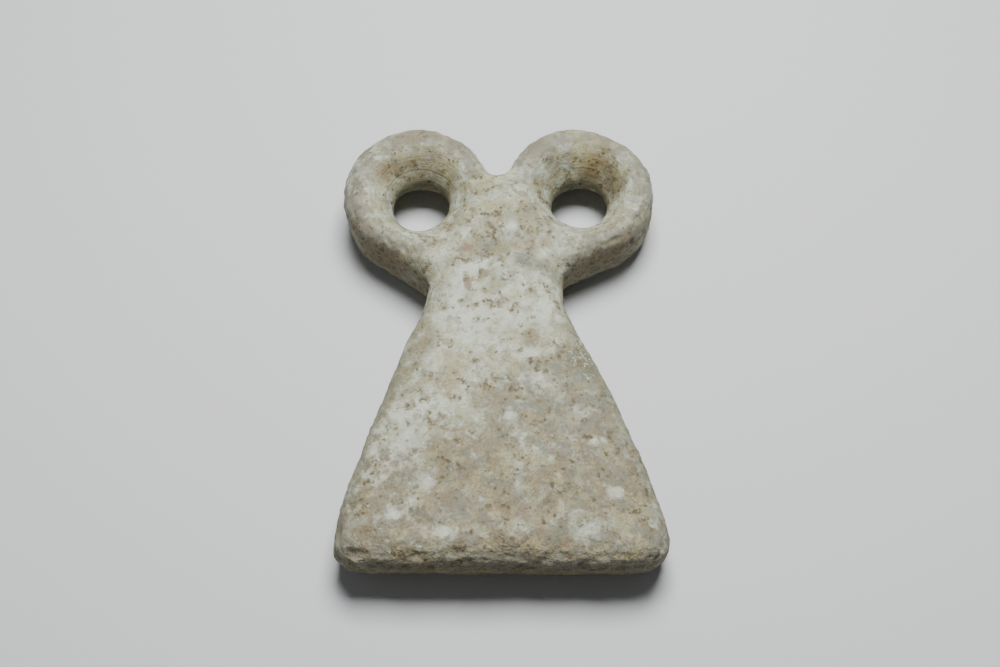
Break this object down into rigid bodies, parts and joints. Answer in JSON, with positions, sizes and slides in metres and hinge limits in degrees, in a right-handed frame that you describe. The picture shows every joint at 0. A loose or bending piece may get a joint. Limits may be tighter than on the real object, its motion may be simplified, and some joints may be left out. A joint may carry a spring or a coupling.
{
  "type": "eye idol",
  "caption": "Flat carved stone eye idol with a flared trapezoid body, a short neck and drilled ring eyes joined by a low web.",
  "frame": {"origin": "middle of the bounding box's underside, on the plane of the back", "axes": "+Y along the figure from its base end to its eye rings, +Z out of its front, +X to the viewer's right"},
  "size_m": [0.0676, 0.1012, 0.0167],
  "materials": {
    "stone": "worn, smooth to slightly pitted"
  },
  "bodies": {
    "root": {"eye_idol": "stone"}
  },
  "joints": []
}
